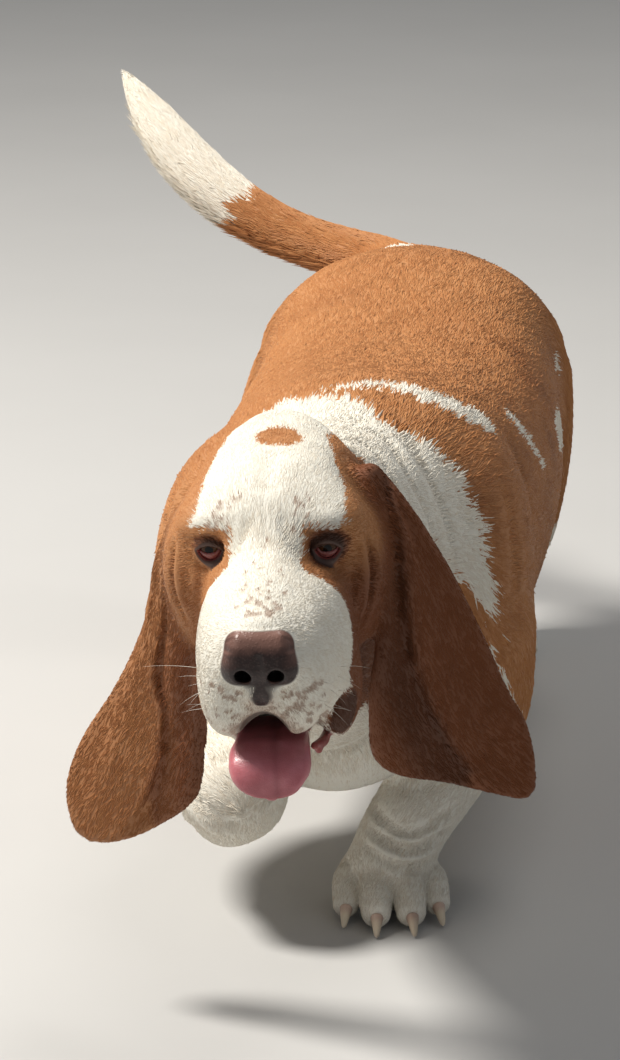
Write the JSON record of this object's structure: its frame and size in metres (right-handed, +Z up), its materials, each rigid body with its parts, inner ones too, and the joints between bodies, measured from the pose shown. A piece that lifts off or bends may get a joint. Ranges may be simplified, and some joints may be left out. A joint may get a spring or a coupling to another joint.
{
  "type": "basset hound",
  "caption": "Basset hound, life size, caught mid-stride with its head low, mouth open and tail up; a still model that stands on its own paws.",
  "frame": {"origin": "on the floor, under the middle of the dog's bounding box", "axes": "+Z up, the dog faces -Y and its left side is +X; it stands on z = 0"},
  "size_m": [0.4466, 1.0731, 0.4598],
  "materials": {
    "red_coat": "short red-brown fur",
    "white_coat": "short white fur",
    "head_coat": "short white fur with red-brown sides",
    "nose_skin": "moist pebbled skin",
    "tongue_skin": "wet",
    "eye": "wet gloss",
    "horn": "satin"
  },
  "bodies": {
    "root": {"trunk": "red_coat", "ear_L": "red_coat", "ear_R": "red_coat", "hindleg_L": "red_coat", "hindleg_R": "red_coat", "tail": "red_coat", "neck": "white_coat", "foreleg_L": "white_coat", "foreleg_R": "white_coat", "forepaw_L": "white_coat", "forepaw_R": "white_coat", "hindpaw_L": "white_coat", "hindpaw_R": "white_coat", "head": "head_coat", "nose": "nose_skin", "tongue": "tongue_skin", "eye_L": "eye", "eye_R": "eye", "claw_fore_L_1": "horn", "claw_fore_L_2": "horn", "claw_fore_L_3": "horn", "claw_fore_L_4": "horn", "claw_fore_R_1": "horn", "claw_fore_R_2": "horn", "claw_fore_R_3": "horn", "claw_fore_R_4": "horn", "claw_hind_L_1": "horn", "claw_hind_L_2": "horn", "claw_hind_L_3": "horn", "claw_hind_L_4": "horn", "claw_hind_R_1": "horn", "claw_hind_R_2": "horn", "claw_hind_R_3": "horn", "claw_hind_R_4": "horn"}
  },
  "joints": []
}
